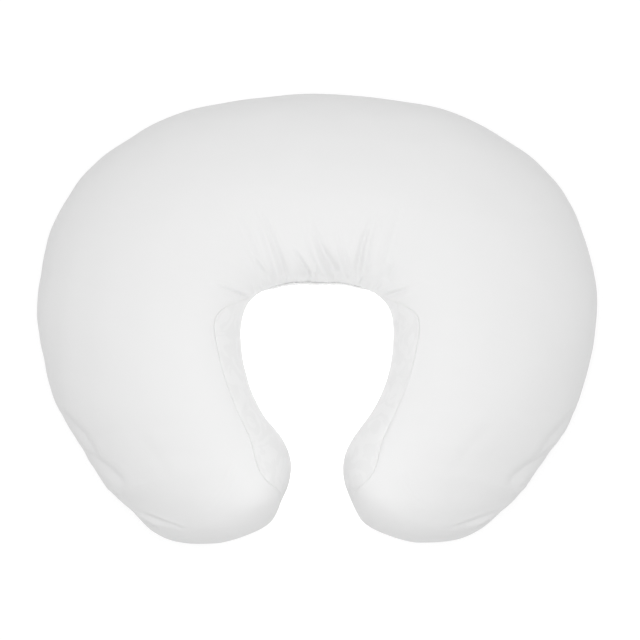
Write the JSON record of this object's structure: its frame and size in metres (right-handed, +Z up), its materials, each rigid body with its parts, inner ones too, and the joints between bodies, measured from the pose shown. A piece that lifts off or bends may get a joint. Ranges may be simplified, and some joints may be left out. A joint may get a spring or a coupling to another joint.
{
  "type": "nursing pillow",
  "caption": "C-shaped nursing pillow: a fiber-stuffed inner pillow in a zipped white cotton slipcover, with a gathered inner edge at the back and arms that taper to rounded tips.",
  "frame": {"origin": "bottom centre of the bounding box, on the surface the pillow lies on", "axes": "+Z up with the pillow lying flat, +Y towards the closed back of the C, +X towards the arm with the zipper; the mouth between the arm tips faces -Y"},
  "size_m": [0.5422, 0.4343, 0.1401],
  "materials": {
    "cover_cotton": "white smooth woven cotton",
    "cover_underside": "white woven cotton with a faint tone-on-tone pattern",
    "welt_cotton": "folded white cotton hem",
    "thread": "spun polyester thread",
    "elastic": "ribbed elastic webbing",
    "casing_cloth": "plain polycotton casing cloth",
    "fiber": "loose polyester fiber",
    "label_cloth": "blank woven label",
    "zipper_tape": "herringbone polyester tape",
    "zipper_nylon": "nylon coil",
    "zipper_metal": "white enamelled zinc"
  },
  "bodies": {
    "pillow": {"cover_top_panel": "cover_cotton", "cover_bottom_panel": "cover_underside", "inner_edge_welt": "welt_cotton", "gather_elastic": "elastic", "welt_topstitch": "thread", "casing_top_panel": "casing_cloth", "casing_bottom_panel": "casing_cloth", "fiber_fill": "fiber", "cover_care_label": "label_cloth", "casing_law_label": "label_cloth", "zipper_tape_upper": "zipper_tape", "zipper_tape_lower": "zipper_tape", "zipper_coil_upper": "zipper_nylon", "zipper_coil_lower": "zipper_nylon", "zipper_top_stops": "zipper_metal", "zipper_bottom_stop": "zipper_metal"},
    "slider": {"slider_body": "zipper_metal", "slider_bail": "zipper_metal", "slider_lock_pin": "zipper_metal"},
    "pull_tab": {"pull_tab": "zipper_metal"}
  },
  "joints": [
    {"name": "zipper_travel", "type": "hinge", "parent": "pillow", "child": "slider", "pos_m": [-0.013, 0.022, 0.042], "axis": [0, 0, 1], "range_deg": [-37.3, 0]},
    {"name": "pull_tab_flip", "type": "hinge", "parent": "slider", "child": "pull_tab", "pos_m": [0.26672, -0.00346, 0.04089], "axis": [0.3811, -0.0347, 0.9239], "range_deg": [0, 170]}
  ]
}
